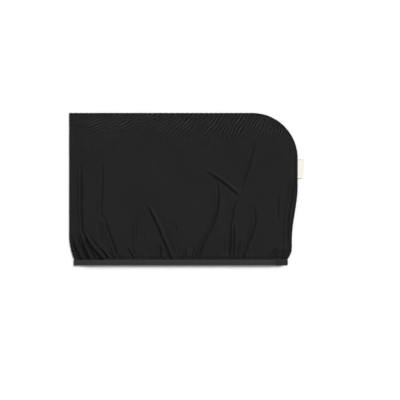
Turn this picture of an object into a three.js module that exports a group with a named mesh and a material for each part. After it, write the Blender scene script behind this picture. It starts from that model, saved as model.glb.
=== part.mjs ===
import * as THREE from 'three';

// Slip-on sunshade for the side window of a car, lying flat as it comes out of its bag.
//
// Two panels of stretch mesh are sewn together along the left side, the top and the right side, and the
// seam is turned in. The bottom is open, so that the sleeve can be pulled down over the door's window
// frame. A fold-over elastic binding goes round that mouth and gathers both panels. A folded woven label
// sticks out of the right seam.
//
// Millimetres, +Z up. +X runs along the hem and +Y from the hem to the top. The origin is in the middle of
// the back panel's underside. "Height" in a name is measured up the sleeve, from the hem's lower edge.

const { clamp, degToRad, lerp, smoothstep } = THREE.MathUtils;

// Sleeve, seen from above
const SLEEVE_WIDTH = 750;
const SLEEVE_HEIGHT = 500;
const CORNER_RADIUS = 150; // the round corner, top right

// The elastic draws the side seams in towards the hem
const LEFT_PULL = 15;
const LEFT_PULL_REACH = 80; // above the binding
const RIGHT_PULL = 14;
const RIGHT_PULL_REACH = 40;
const RIGHT_SLANT = 19; // a longer and gentler draw, on the right only
const RIGHT_SLANT_FOOT = 65; // above the binding
const RIGHT_SLANT_HEAD = 90; // below the round corner

// Cloth and seam
const MESH_THICKNESS = 0.5;
const LAYER_GAP = 0.3; // between pieces that lie on each other
const SEAM_ALLOWANCE = 8; // rim of the sleeve to the turned raw edge
const THREAD_THICKNESS = 0.4;
const OVERLOCK_START = 2; // rim of the sleeve to the outer row of the overlock
const LOFT = 4; // how far the front panel stands up between its seams
const LOFT_RUN = 60; // distance from a seam over which it does so

// Elastic binding
const BINDING_WIDTH = 17.5;
const BINDING_WALL = 0.6;
const MOUTH_OPENING = 5.2; // clear height between the binding's two runs
const MOUTH_RUN = 60; // distance from each end over which the mouth opens
const HEM_EASE = 30; // height over which the cloth leaves the binding
const LAP_INNER = 12; // right end of the binding to where its under layer starts
const LAP_OUTER = 36; // right end of the binding to where its upper layer ends

// Gathers above the binding
const GATHER_COUNT = 36;
const GATHER_SIZE = 5;
const GATHER_REACH = 100;
const BACK_GATHER_SIZE = 1.2;
const CREASE_RISE = 9; // height above the binding over which gathers and folds come up

// Woven label
const LABEL_LENGTH = 62; // along the seam
const LABEL_REACH = 20; // out of the seam
const LABEL_CENTRE = 317; // up from the hem
const LABEL_TILT = degToRad(5.5);
const LABEL_THICKNESS = 0.25;

// Folds in the front panel. Foot and head are shares of the sleeve's width, from the left, and of its
// height, from the hem. Bow is how far the fold bends to the right of its chord.
const FOLDS = [
  { foot: [0.06, 0.035], head: [0.02, 0.22], bow: -3, width: 9, size: 5 },
  { foot: [0.1, 0.035], head: [0.047, 0.69], bow: -18, width: 11, size: 5 },
  { foot: [0.165, 0.035], head: [0.069, 0.22], bow: -7, width: 11, size: 7 },
  { foot: [0.21, 0.035], head: [0.152, 0.69], bow: -24, width: 15, size: 6 },
  { foot: [0.29, 0.035], head: [0.26, 0.12], bow: 0, width: 9, size: 3 },
  { foot: [0.4, 0.035], head: [0.4, 0.14], bow: 0, width: 9, size: 4 },
  { foot: [0.45, 0.035], head: [0.33, 0.4], bow: 8, width: 15, size: 5 },
  { foot: [0.29, 0.15], head: [0.33, 0.4], bow: 4, width: 14, size: 3 },
  { foot: [0.55, 0.09], head: [0.646, 0.56], bow: 33, width: 16, size: 3.5 },
  { foot: [0.57, 0.62], head: [0.742, 0.46], bow: -12, width: 18, size: 2.5 },
  { foot: [0.72, 0.035], head: [0.742, 0.46], bow: -16, width: 15, size: 4 },
  { foot: [0.747, 0.48], head: [0.81, 0.77], bow: 5, width: 17, size: 2.5 },
  { foot: [0.764, 0.05], head: [0.8, 0.39], bow: 14, width: 15, size: 3.5 },
  { foot: [0.912, 0.29], head: [0.912, 0.46], bow: 0, width: 12, size: 2.5 },
  { foot: [0.9, 0.05], head: [0.93, 0.12], bow: 0, width: 11, size: 4.5 },
  { foot: [0.945, 0.12], head: [0.975, 0.52], bow: 0, width: 12, size: 4 },
];
const FOLD_STEEP_SIDE = 0.5; // width of a fold's right side, as a share of its left side
const FOLD_FADE_START = 0.5; // share of its length from which a fold dies away

// Low swells in the back panel, where its slack stands off the floor
const BACK_SWELLS = [
  { foot: [0.28, 0.2], head: [0.36, 0.75], bow: 6, width: 46, size: 1.8 },
  { foot: [0.72, 0.2], head: [0.66, 0.72], bow: -6, width: 42, size: 1.6 },
];

// Facets
const COLUMNS = 4 * GATHER_COUNT;
const FIRST_HEM_STEP = 4.5;
const HEM_STEP_GROWTH = 1.37;
const DENSE_HEM_STEPS = 4;
const HEM_STEPS = 7;
const LOWER_STEPS = 4;
const LABEL_STEPS = 2;
const UPPER_STEPS = 4;
const TURN_STEPS = 4; // of the rim's half turn
const LABEL_EASE = 30; // of the seam's rise over the label, at each end
const LABEL_MARGIN = 8;

// Layers of the rim, from the floor up: back panel, overlock, the two turned edges, overlock, front panel
const halfMesh = MESH_THICKNESS / 2;
const turnRise = MESH_THICKNESS + THREAD_THICKNESS + 2 * LAYER_GAP;
const turnRadius = turnRise / 2;
const turnInset = turnRadius + halfMesh;
const backZ = halfMesh;
const backEdgeZ = backZ + turnRise;
const frontEdgeZ = backEdgeZ + MESH_THICKNESS + LAYER_GAP;
const frontZ = frontEdgeZ + turnRise;

// The binding is a U round the cloth's edge. Its back run lies on the floor and its front run above it.
const slotHalf = halfMesh + LAYER_GAP;
const bindingHalf = slotHalf + BINDING_WALL;
const lapStep = BINDING_WALL + LAYER_GAP;
const bindingTurnRadius = Math.max((frontZ - backZ) / 2, bindingHalf + LAYER_GAP / 2);
const bindingInset = bindingTurnRadius + bindingHalf; // end of the binding to its straight runs
const backRunZ = bindingHalf;
const frontRunEndZ = backRunZ + 2 * bindingTurnRadius;
const frontRunZ = 3 * bindingHalf + MOUTH_OPENING;
const backClimb = backRunZ - backZ;
const frontClimb = frontRunEndZ - frontZ;
const bindingLeft = -SLEEVE_WIDTH / 2 + LEFT_PULL;
const bindingRight = SLEEVE_WIDTH / 2 - RIGHT_SLANT - RIGHT_PULL;

// The label's two leaves lie between the turned edges, which make room for them
const leafOffset = (LABEL_THICKNESS + LAYER_GAP) / 2;
const labelHalf = leafOffset + LABEL_THICKNESS / 2;
const labelRootZ = backEdgeZ + halfMesh + LAYER_GAP + labelHalf;
const labelTuck = SEAM_ALLOWANCE - LAYER_GAP - (LABEL_LENGTH / 2) * Math.sin(LABEL_TILT);
const labelLift = 2 * labelHalf + LAYER_GAP;

// Places up the sleeve
const hemY = -SLEEVE_HEIGHT / 2;
const topY = SLEEVE_HEIGHT / 2;
const panelFoot = BINDING_WALL + LAYER_GAP;
const seamFoot = BINDING_WIDTH + LAYER_GAP;
const cornerFoot = SLEEVE_HEIGHT - CORNER_RADIUS;
const cornerX = SLEEVE_WIDTH / 2 - CORNER_RADIUS;
const cornerY = topY - CORNER_RADIUS;
const labelLow = LABEL_CENTRE - LABEL_LENGTH / 2 - LABEL_MARGIN;
const labelHigh = LABEL_CENTRE + LABEL_LENGTH / 2 + LABEL_MARGIN;

// Outline of the sleeve. An inset moves it inwards.

function pullShare(height, reach) {
  return clamp((BINDING_WIDTH + reach - height) / reach, 0, 1) ** 2;
}

function leftX(height) {
  const clothPull = LEFT_PULL + bindingInset - turnInset;
  return -SLEEVE_WIDTH / 2 + clothPull * pullShare(height, LEFT_PULL_REACH);
}

function rightX(height) {
  const clothPull = RIGHT_PULL + bindingInset - turnInset;
  const slantFoot = BINDING_WIDTH + RIGHT_SLANT_FOOT;
  const slantHead = cornerFoot - RIGHT_SLANT_HEAD;
  const slant = RIGHT_SLANT * (1 - smoothstep(height, slantFoot, slantHead));
  return SLEEVE_WIDTH / 2 - slant - clothPull * pullShare(height, RIGHT_PULL_REACH);
}

function cornerPoint(angle, inset) {
  const radius = CORNER_RADIUS - inset;
  return new THREE.Vector2(cornerX + radius * Math.cos(angle), cornerY + radius * Math.sin(angle));
}

function leftEdge(height, inset) {
  return new THREE.Vector2(leftX(height) + inset, Math.min(hemY + height, topY - inset));
}

// The right edge goes up the side and half way round the corner, and the top edge goes the other half
function rightEdge(height, inset) {
  if (height <= cornerFoot) return new THREE.Vector2(rightX(height) - inset, hemY + height);
  return cornerPoint(((Math.PI / 4) * (height - cornerFoot)) / CORNER_RADIUS, inset);
}

function topEdge(u, inset) {
  const straight = 1 - CORNER_RADIUS / SLEEVE_WIDTH;
  if (u <= straight) {
    const x = -SLEEVE_WIDTH / 2 + Math.max(u * SLEEVE_WIDTH, inset);
    return new THREE.Vector2(x, topY - inset);
  }
  return cornerPoint(Math.PI / 2 - ((Math.PI / 4) * (u - straight)) / (1 - straight), inset);
}

// Point of the panel at share u of its width, on the row that starts at this height on the left
function panelPoint(u, height) {
  const point = leftEdge(height, turnInset).lerp(rightEdge(height, turnInset), u);
  const topChord = leftEdge(SLEEVE_HEIGHT, turnInset).lerp(rightEdge(SLEEVE_HEIGHT, turnInset), u);
  const bulge = topEdge(u, turnInset).sub(topChord);
  const share = (height - panelFoot) / (SLEEVE_HEIGHT - panelFoot);
  return point.addScaledVector(bulge, share ** 3);
}

// Share from 0 at the seams to 1 at this distance from all of them
function awayFromSeams(x, y, distance) {
  const left = x - leftX(y - hemY);
  const inCorner = x > cornerX && y > cornerY;
  const corner = CORNER_RADIUS - Math.hypot(x - cornerX, y - cornerY);
  const top = inCorner ? corner : topY - y;
  const right = inCorner ? corner : rightX(y - hemY) - x;
  return [left, top, right].reduce((share, gap) => share * smoothstep(gap, 0, distance), 1);
}

// Heights of the cloth's middle

// 1 in the binding, 0 once the cloth has left it
function hemShare(height) {
  return 1 - smoothstep(height, seamFoot, seamFoot + HEM_EASE);
}

// Rise of the front panel's right rim over the label
function liftAt(height) {
  const below = smoothstep(height, labelLow - LABEL_EASE, labelLow);
  const above = 1 - smoothstep(height, labelHigh, labelHigh + LABEL_EASE);
  return labelLift * below * above;
}

function frontRimZ(height, lift) {
  return frontZ + frontClimb * hemShare(height) + lift;
}

function backRimZ(height) {
  return backZ + backClimb * hemShare(height);
}

// Middle of the binding's front run
function frontRunAt(x) {
  const fromEnd = Math.min(x - bindingLeft, bindingRight - x);
  const share = smoothstep(fromEnd, bindingInset, bindingInset + MOUTH_RUN);
  return lerp(frontRunEndZ, frontRunZ, share);
}

function gatherHeight(u, height) {
  const above = height - seamFoot;
  const index = Math.round(u * GATHER_COUNT);
  const wave = 0.5 + 0.5 * Math.cos(2 * Math.PI * GATHER_COUNT * u);
  const size = 0.7 + 0.3 * Math.sin(2.4 * index);
  const reach = GATHER_REACH * (1 + 0.4 * Math.sin(1.7 * index));
  const fade = clamp(1 - above / reach, 0, 1) ** 2;
  return wave * size * fade * smoothstep(above, 0, CREASE_RISE);
}

function sleevePoint([acrossShare, upShare]) {
  return new THREE.Vector2((acrossShare - 0.5) * SLEEVE_WIDTH, hemY + upShare * SLEEVE_HEIGHT);
}

function makeFold({ foot, head, bow, width, size }) {
  const start = sleevePoint(foot);
  const axis = sleevePoint(head).sub(start);
  const length = axis.length();
  axis.normalize();
  const across = new THREE.Vector2(axis.y, -axis.x);
  return (x, y) => {
    const offset = new THREE.Vector2(x, y).sub(start);
    const along = offset.dot(axis);
    const share = clamp(along / length, 0, 1);
    const side = offset.dot(across) - 4 * bow * share * (1 - share);
    const spread = side > 0 ? width * FOLD_STEEP_SIDE : width;
    const fade = smoothstep(along, -2 * width, 0) * (1 - smoothstep(along / length, FOLD_FADE_START, 1));
    return size * fade * clamp(1 - (side / spread) ** 2 / 4, 0, 1) ** 4;
  };
}

const folds = FOLDS.map(makeFold);
const swells = BACK_SWELLS.map(makeFold);

function totalHeight(bumps, x, y) {
  return bumps.reduce((sum, bump) => sum + bump(x, y), 0);
}

function foldHeight(x, y) {
  const above = y - hemY - seamFoot;
  return totalHeight(folds, x, y) * smoothstep(above, 0, CREASE_RISE);
}

function frontHeight(u, height, x, y) {
  const share = hemShare(height);
  const lift = liftAt(height) * (1 - smoothstep(rightX(height) - x, SEAM_ALLOWANCE, LOFT_RUN));
  const loft = lerp(LOFT * awayFromSeams(x, y, LOFT_RUN), frontRunAt(x) - frontRunEndZ, share);
  const creases = foldHeight(x, y) + GATHER_SIZE * gatherHeight(u, height);
  return frontRimZ(height, lift) + loft + creases * awayFromSeams(x, y, 2 * SEAM_ALLOWANCE);
}

function backHeight(u, height, x, y) {
  const creases = BACK_GATHER_SIZE * gatherHeight(u, height) + totalHeight(swells, x, y);
  const clear = awayFromSeams(x, y, 4 * SEAM_ALLOWANCE) ** 2;
  return backRimZ(height) + creases * clear;
}

// Rows of a panel, from its edge in the binding to its top. The two ends of each row lie on the side seams.

function rowHeights() {
  const heights = [panelFoot, seamFoot];
  for (let step = 0; step < HEM_STEPS; step += 1) {
    heights.push(heights.at(-1) + FIRST_HEM_STEP * HEM_STEP_GROWTH ** step);
  }
  const stops = [
    [labelLow, LOWER_STEPS],
    [labelHigh, LABEL_STEPS],
    [SLEEVE_HEIGHT, UPPER_STEPS],
  ];
  for (const [stop, steps] of stops) {
    const start = heights.at(-1);
    for (let step = 1; step <= steps; step += 1) heights.push(lerp(start, stop, step / steps));
  }
  return heights;
}

const heights = rowHeights();
const seamRow = 1; // where the seam leaves the binding
const lastDenseRow = seamRow + DENSE_HEM_STEPS;
const topRow = heights.length - 1;

function frontColumns(row) {
  if (row === topRow) return COLUMNS / 4;
  if (row === 0 || row > lastDenseRow) return COLUMNS / 2;
  return COLUMNS;
}

function backColumns(row) {
  if (row === 0 || row === lastDenseRow + 1 || row === topRow) return COLUMNS / 4;
  if (row > lastDenseRow) return COLUMNS / 8;
  return COLUMNS / 2;
}

// Stations of the seam, clockwise from the left end of the hem. Each gives the point at an inset from the
// rim, its height up the sleeve and the front rim's lift over the label.
function seamStations() {
  const stations = [];
  for (let row = seamRow; row <= topRow; row += 1) {
    stations.push({ at: (inset) => leftEdge(heights[row], inset), height: heights[row], lift: 0 });
  }
  const columns = COLUMNS / 4;
  for (let column = 1; column < columns; column += 1) {
    stations.push({ at: (inset) => topEdge(column / columns, inset), height: SLEEVE_HEIGHT, lift: 0 });
  }
  for (let row = topRow; row >= seamRow; row -= 1) {
    const height = heights[row];
    stations.push({ at: (inset) => rightEdge(height, inset), height, lift: liftAt(height) });
  }
  return stations;
}

const stations = seamStations();

// Mesh building

function solid(points, faces) {
  const geometry = new THREE.BufferGeometry();
  geometry.setAttribute('position', new THREE.Float32BufferAttribute(points.flatMap((p) => [p.x, p.y, p.z]), 3));
  geometry.setIndex(faces.flat());
  geometry.computeVertexNormals();
  return geometry;
}

// Faces between two rows of points, where one may have twice as many columns as the other
function joinRows(lower, upper) {
  const faces = [];
  if (lower.length === upper.length) {
    for (let i = 0; i + 1 < lower.length; i += 1) {
      faces.push([lower[i], lower[i + 1], upper[i + 1]], [lower[i], upper[i + 1], upper[i]]);
    }
    return faces;
  }
  const fineBelow = lower.length > upper.length;
  const coarse = fineBelow ? upper : lower;
  const fine = fineBelow ? lower : upper;
  for (let i = 0; i + 1 < coarse.length; i += 1) {
    const [near, far] = [coarse[i], coarse[i + 1]];
    const [first, middle, last] = fine.slice(2 * i, 2 * i + 3);
    const three = [[first, middle, near], [middle, far, near], [middle, last, far]];
    faces.push(...(fineBelow ? three : three.map((face) => face.toReversed())));
  }
  return faces;
}

// Gives a surface its thickness, half to each side, with walls along its open edges
function thicken(points, faces, thickness) {
  const normals = points.map(() => new THREE.Vector3());
  for (const [a, b, c] of faces) {
    const side = points[b].clone().sub(points[a]);
    const normal = side.cross(points[c].clone().sub(points[a]));
    for (const corner of [a, b, c]) normals[corner].add(normal);
  }
  const shift = (sign) => points.map((point, i) =>
    point.clone().addScaledVector(normals[i].clone().normalize(), (sign * thickness) / 2));
  const count = points.length;
  const edges = new Map();
  for (const face of faces) {
    face.forEach((a, i) => {
      const b = face[(i + 1) % 3];
      if (!edges.delete(`${b} ${a}`)) edges.set(`${a} ${b}`, [a, b]);
    });
  }
  const walls = [...edges.values()].flatMap(([a, b]) => [[b, a, a + count], [b, a + count, b + count]]);
  const under = faces.map(([a, b, c]) => [a + count, c + count, b + count]);
  return solid([...shift(1), ...shift(-1)], [...faces, ...under, ...walls]);
}

// Joins equal sections into one closed body. The section's outline, in the plane, gives the two ends.
function sweep(sections, outline) {
  const size = outline.length;
  const faces = [];
  for (let s = 0; s + 1 < sections.length; s += 1) {
    for (let i = 0; i < size; i += 1) {
      const next = (i + 1) % size;
      const [a, b] = [s * size + i, s * size + next];
      faces.push([a, b, b + size], [a, b + size, a + size]);
    }
  }
  const last = (sections.length - 1) * size;
  for (const [a, b, c] of THREE.ShapeUtils.triangulateShape(outline, [])) {
    faces.push([a, c, b], [a + last, b + last, c + last]);
  }
  return solid(sections.flat(), faces);
}

// Pieces

// A panel with its turned edge. turn is -1 where the edge goes down under the panel, and 1 where it goes up.
function makePanel({ columnsAt, heightAt, rimZ, turn }) {
  const points = [];
  const add = (x, y, z) => points.push(new THREE.Vector3(x, y, z)) - 1;
  const rows = heights.map((height, row) => {
    const columns = columnsAt(row);
    return Array.from({ length: columns + 1 }, (_, column) => {
      const u = column / columns;
      const { x, y } = panelPoint(u, height);
      return add(x, y, heightAt(u, height, x, y));
    });
  });
  const faces = rows.slice(1).flatMap((row, i) => joinRows(rows[i], row));

  const rim = [
    ...rows.slice(seamRow).map((row) => row[0]),
    ...rows[topRow].slice(1, -1),
    ...rows.slice(seamRow).map((row) => row.at(-1)).reverse(),
  ];
  const loops = [rim];
  for (let step = 1; step <= TURN_STEPS + 1; step += 1) {
    const angle = (Math.PI * Math.min(step, TURN_STEPS)) / TURN_STEPS;
    const inset = step > TURN_STEPS ? SEAM_ALLOWANCE : turnInset - turnRadius * Math.sin(angle);
    const rise = turn * turnRadius * (1 - Math.cos(angle));
    loops.push(stations.map(({ at, height, lift }) => {
      const { x, y } = at(inset);
      return add(x, y, rimZ(height, lift) + rise);
    }));
  }
  for (let i = 0; i + 1 < loops.length; i += 1) {
    faces.push(...joinRows(loops[i + 1], loops[i]).map((face) => face.toReversed()));
  }
  return thicken(points, faces, MESH_THICKNESS);
}

function makeFrontPanel() {
  return makePanel({ columnsAt: frontColumns, heightAt: frontHeight, rimZ: frontRimZ, turn: -1 });
}

function makeBackPanel() {
  return makePanel({ columnsAt: backColumns, heightAt: backHeight, rimZ: backRimZ, turn: 1 });
}

// The overlock is a channel of thread round both raw edges, inside the sleeve
function makeOverlock() {
  const edge = SEAM_ALLOWANCE + LAYER_GAP;
  const away = halfMesh + LAYER_GAP;
  const outline = [
    [OVERLOCK_START, -1, THREAD_THICKNESS],
    [edge + THREAD_THICKNESS, -1, THREAD_THICKNESS],
    [edge + THREAD_THICKNESS, 1, THREAD_THICKNESS],
    [OVERLOCK_START, 1, THREAD_THICKNESS],
    [OVERLOCK_START, 1, 0],
    [edge, 1, 0],
    [edge, -1, 0],
    [OVERLOCK_START, -1, 0],
  ];
  const heightOf = ([, side, skin], height, lift) => {
    const middle = side > 0
      ? frontRimZ(height, lift) - turnRise
      : backRimZ(height) + turnRise;
    return middle + side * (away + skin);
  };
  const sections = stations.toReversed().map(({ at, height, lift }) => outline.map((corner) => {
    const { x, y } = at(corner[0]);
    return new THREE.Vector3(x, y, heightOf(corner, height, lift));
  }));
  const flat = outline.map((corner) => new THREE.Vector2(corner[0], heightOf(corner, SLEEVE_HEIGHT, 0)));
  return sweep(sections, flat);
}

// Half of the binding's section at a share of the lap's growth, as offsets from the run's middle and
// heights up the sleeve. The other half is its mirror image.
function bindingOutline(growth) {
  const outer = bindingHalf + growth * lapStep;
  const inner = slotHalf + growth * lapStep;
  const foot = -growth * lapStep;
  const half = [
    [outer - BINDING_WALL / 2, foot],
    [outer, foot + BINDING_WALL],
    [outer, BINDING_WIDTH],
    [inner, BINDING_WIDTH],
    [inner, foot + BINDING_WALL],
  ];
  const mirrored = half.map(([offset, height]) => [-offset, height]).reverse();
  return [...half, ...mirrored].map(([offset, height]) => new THREE.Vector2(offset, height));
}

// The binding goes left along the front run, round the left end, right along the back run and round the
// right end, and then laps over its own start
function makeBinding() {
  const route = [];
  const slopeAt = (x) => (frontRunAt(x + 0.5) - frontRunAt(x - 0.5));
  const addFront = (x, growth) => {
    route.push({ x, z: frontRunAt(x), angle: Math.PI / 2 + Math.atan(slopeAt(x)), growth });
  };
  const leftEnd = bindingLeft + bindingInset;
  const rightEnd = bindingRight - bindingInset;
  const turnZ = backRunZ + bindingTurnRadius;
  const openSteps = 10;
  const longSteps = 12;
  const start = bindingRight - LAP_INNER;
  const lapSteps = 4;

  const mouthRight = rightEnd - MOUTH_RUN;
  const mouthLeft = leftEnd + MOUTH_RUN;
  for (let i = 0; i < openSteps; i += 1) addFront(lerp(start, mouthRight, i / openSteps), 0);
  for (let i = 0; i < longSteps; i += 1) addFront(lerp(mouthRight, mouthLeft, i / longSteps), 0);
  for (let i = 0; i < openSteps; i += 1) addFront(lerp(mouthLeft, leftEnd, i / openSteps), 0);

  const addTurn = (x, first) => {
    for (let i = 0; i <= TURN_STEPS; i += 1) {
      const angle = first + (Math.PI * i) / TURN_STEPS;
      const turnX = x + bindingTurnRadius * Math.cos(angle);
      route.push({ x: turnX, z: turnZ + bindingTurnRadius * Math.sin(angle), angle, growth: 0 });
    }
  };
  addTurn(leftEnd, Math.PI / 2);
  addTurn(rightEnd, -Math.PI / 2);

  const lapStart = start + LAYER_GAP;
  const lapEnd = bindingRight - LAP_OUTER;
  for (let i = 1; i <= lapSteps; i += 1) addFront(lerp(rightEnd, lapStart, i / lapSteps), i / lapSteps);
  for (let i = 1; i <= lapSteps; i += 1) addFront(lerp(lapStart, lapEnd, i / lapSteps), 1);

  const sections = route.map(({ x, z, angle, growth }) => bindingOutline(growth).map((corner) => {
    const [dx, dz] = [corner.x * Math.cos(angle), corner.x * Math.sin(angle)];
    return new THREE.Vector3(x + dx, hemY + corner.y, z + dz);
  }));
  return sweep(sections, bindingOutline(0));
}

// The label is one strip, folded at its outer edge, with both ends caught in the seam
function makeLabel() {
  const steps = 8;
  const tipZ = labelHalf + LAYER_GAP;
  const middleAt = (out) => lerp(labelRootZ, tipZ, smoothstep(out, 0, LABEL_REACH));
  const outAt = (step) => lerp(-labelTuck, LABEL_REACH - labelHalf, step / steps);
  const upper = Array.from({ length: steps + 1 }, (_, i) => [outAt(i), middleAt(outAt(i)) + leafOffset]);
  const lower = upper.map(([out, z]) => [out, z - 2 * leafOffset]).reverse();
  const tip = [];
  for (let i = 1; i < TURN_STEPS; i += 1) {
    const angle = Math.PI / 2 - (Math.PI * i) / TURN_STEPS;
    const out = outAt(steps) + leafOffset * Math.cos(angle);
    tip.push([out, middleAt(outAt(steps)) + leafOffset * Math.sin(angle)]);
  }
  const outward = new THREE.Vector2(Math.cos(LABEL_TILT), -Math.sin(LABEL_TILT));
  const alongSeam = new THREE.Vector2(Math.sin(LABEL_TILT), Math.cos(LABEL_TILT));
  const root = new THREE.Vector2(rightX(LABEL_CENTRE), hemY + LABEL_CENTRE);
  const points = [];
  const rows = [...upper, ...tip, ...lower].map(([out, z]) => [1, 0, -1].map((end) => {
    const place = root.clone().addScaledVector(outward, out);
    place.addScaledVector(alongSeam, (end * LABEL_LENGTH) / 2);
    return points.push(new THREE.Vector3(place.x, place.y, z)) - 1;
  }));
  const faces = rows.slice(1).flatMap((row, i) => joinRows(row, rows[i]));
  return thicken(points, faces, LABEL_THICKNESS);
}

// Materials

const blackMesh = new THREE.MeshStandardMaterial({ color: 0x1d1e20, roughness: 0.9, metalness: 0 });
const blackElastic = new THREE.MeshStandardMaterial({ color: 0x303133, roughness: 0.75, metalness: 0 });
const blackThread = new THREE.MeshStandardMaterial({ color: 0x161617, roughness: 0.85, metalness: 0 });
const creamWoven = new THREE.MeshStandardMaterial({ color: 0xf7f1e6, roughness: 0.7, metalness: 0 });

const sunshade = new THREE.Group();

function addPiece(name, geometry, material) {
  const mesh = new THREE.Mesh(geometry, material);
  mesh.name = name;
  sunshade.add(mesh);
}

addPiece('front_panel', makeFrontPanel(), blackMesh);
addPiece('back_panel', makeBackPanel(), blackMesh);
addPiece('seam_overlock', makeOverlock(), blackThread);
addPiece('hem_binding', makeBinding(), blackElastic);
addPiece('side_label', makeLabel(), creamWoven);

export default sunshade;
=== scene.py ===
"""Looks of the slip-on sunshade for a car's side window, lying flat on a pale floor.

Lengths are in millimetres while a piece is shaped, and in metres once its mesh is made. +X runs along the
hem, +Y from the hem to the top and +Z up, and the origin is in the middle of the back panel's underside.
"Height" in a name is measured up the sleeve, from the hem's lower edge. "Level" and "z" are above the floor.
"""

import math

import bpy
import numpy as np
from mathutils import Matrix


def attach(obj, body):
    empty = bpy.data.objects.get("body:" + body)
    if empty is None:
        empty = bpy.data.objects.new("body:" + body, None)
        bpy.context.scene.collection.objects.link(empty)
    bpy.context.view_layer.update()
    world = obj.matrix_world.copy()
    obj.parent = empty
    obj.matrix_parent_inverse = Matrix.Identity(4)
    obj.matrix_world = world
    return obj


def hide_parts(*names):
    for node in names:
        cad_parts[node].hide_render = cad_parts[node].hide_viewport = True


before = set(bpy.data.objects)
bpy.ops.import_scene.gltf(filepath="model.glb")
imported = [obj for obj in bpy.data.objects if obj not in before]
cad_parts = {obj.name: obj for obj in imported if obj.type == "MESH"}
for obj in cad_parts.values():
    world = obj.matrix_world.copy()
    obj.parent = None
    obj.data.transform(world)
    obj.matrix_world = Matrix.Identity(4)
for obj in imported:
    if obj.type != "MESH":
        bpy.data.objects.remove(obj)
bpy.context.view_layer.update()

MM = 0.001

# Sleeve
SLEEVE_WIDTH = 750
SLEEVE_HEIGHT = 500
CORNER_RADIUS = 150
LEFT_PULL = 15
LEFT_PULL_REACH = 80
RIGHT_PULL = 14
RIGHT_PULL_REACH = 40
RIGHT_SLANT = 19
RIGHT_SLANT_FOOT = 65
RIGHT_SLANT_HEAD = 90

# Cloth and seam
MESH_THICKNESS = 0.5
LAYER_GAP = 0.3
SEAM_ALLOWANCE = 8
THREAD_THICKNESS = 0.4
OVERLOCK_START = 2
LOFT = 4
LOFT_RUN = 60

# Elastic binding
BINDING_WIDTH = 17.5
BINDING_WALL = 0.6
MOUTH_OPENING = 5.2
MOUTH_RUN = 60
HEM_EASE = 30
LAP_INNER = 12
LAP_OUTER = 36
# Run of the elastic's painted shade towards its lapped end
LAP_SHADE_RUN = 20
# Run of the elastic's painted highlight along its lower fold
FOLD_LIGHT_RUN = 6
LAP_END_RISE = 3.2
LAP_END_SPAN = (26, 6)
BINDING_EDGE_ROUND = 0.18
BINDING_EDGE_BEVEL = 0.05
BINDING_FOLD_STEPS = 13
BINDING_RIPPLE = {"length": 26, "rise": 0.22, "seed": 71}
BINDING_RIPPLE_START = 2
BINDING_WANDER = {"length": 40, "rise": 0.12, "seed": 72}
FRONT_STATIONS = 240
BACK_STATIONS = 200
END_STATIONS = 11
JOGGLE_STATIONS = 9
LAP_STATIONS = 10

# Woven label
LABEL_LENGTH = 62
LABEL_REACH = 20
LABEL_CENTRE = 317
LABEL_TILT = math.radians(5.5)
LABEL_THICKNESS = 0.25
LABEL_EASE = 30
LABEL_MARGIN = 8
LABEL_CURL = 0.5
LABEL_STATIONS = (30, 34)
LABEL_FOLD_STATIONS = 9

# Stitches of the hem and the seam
HEM_STITCH = 3.1
HEM_STITCH_GAP = 0.5
HEM_STITCH_INSET = 2.6
HEM_ROW_START = 2
HEM_ROW_END = 3
STITCH_LIFT = 0.22
BACK_STITCH_LIFT = -0.1
BACK_STITCH_Z = 0.12
BACK_STITCH_RADIUS = 0.12
TACK_INSET = 4
TACK_SPAN = (2.8, BINDING_WIDTH - 1.2)
TACK_LIFT = 0.05
TACK_WIDTH = 2.4
TACK_POINTS = 15
THREAD_SIDES = 5
OVERLOCK_PITCH = 2.4
OVERLOCK_END = 2
SEAM_STEP = 2
SEAM_TOP_STEPS = 400
NEEDLE_STEP = 1.2
NEEDLE_PLACE = 0.08
NEEDLE_WOBBLE = 0.12
NEEDLE_RADIUS = 0.15
PLEAT_PITCH = 16.5

# Relief of the cloth. A fold fades in from its head, and its foot fades out where it is clear of the hem.
# A strip is a ridge along an edge, or a groove where its rise is negative. It has its middle's distance from
# the edge, and the widths of its outer and inner sides. A wave has its length, its rise, and the seed of its
# random draws.
FOLD_STEP = 4
FOLD_HEAD_SHARE = 0.35
FOLD_HEAD_RUN = 60
FOLD_FOOT_SHARE = 0.3
FOLD_FOOT_RUN = 25
FOLD_FOOT_CLEAR = 40
FOLD_END_EASE = 2
HOLLOW_AWAY = 1
HOLLOW_AWAY_SHARE = 1.6
HOLLOW_SIDE = 0.6
HOLLOW_SIDE_SHARE = 0.8
CREASE_RISE = 7
LAYERS_APART = 0.9
LAYERS_EASE = 0.7
PLEAT_RISE = 0.5
PLEAT_LEAST = 0.25
PLEATS_HEART = -100
PLEATS_HALF_SPAN = 50
NOTCH_DEPTH = 0.9
NOTCH_REACH = 14
RIM_FADE_AT_CORNER = (-10, 40)
RIM_FADE_AT_HEM = 25
PLEAT_STRIP = {"rise": 1, "inset": 9, "sides": (8, 10)}
RIM_RIDGE = {"rise": 1.1, "inset": 3.2, "sides": (2.2, 3.0)}
RIM_GROOVE = {"rise": -2.2, "inset": 12.5, "sides": (3.6, 4.2)}
HEM_GROOVE = {"rise": -2.6, "inset": 4, "sides": (3, 5)}
PUCKERS = [
    {"length": 31, "reach": 50, "rise": 1.7, "seed": 5},
    {"length": 19, "reach": 30, "rise": 1.8, "seed": 6},
    {"length": 11.5, "reach": 18, "rise": 1.1, "seed": 7},
]
PUCKER_FADE = 1.6
PUCKER_SHIFT = {"length": 60, "rise": 7, "seed": 3}
PUCKER_LEAN = {"length": 170, "rise": 0.18, "seed": 20}
PUCKER_PHASE = {"length": 140, "rise": 2, "seed": 10}
PUCKER_STRENGTH = {"length": 95, "middle": 0.62, "rise": 0.55, "limits": (0.1, 1.3)}
PUCKER_REACH = {"length": 80, "middle": 1, "rise": 0.5, "limits": (0.4, 1.7), "seed": 30}
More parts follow.
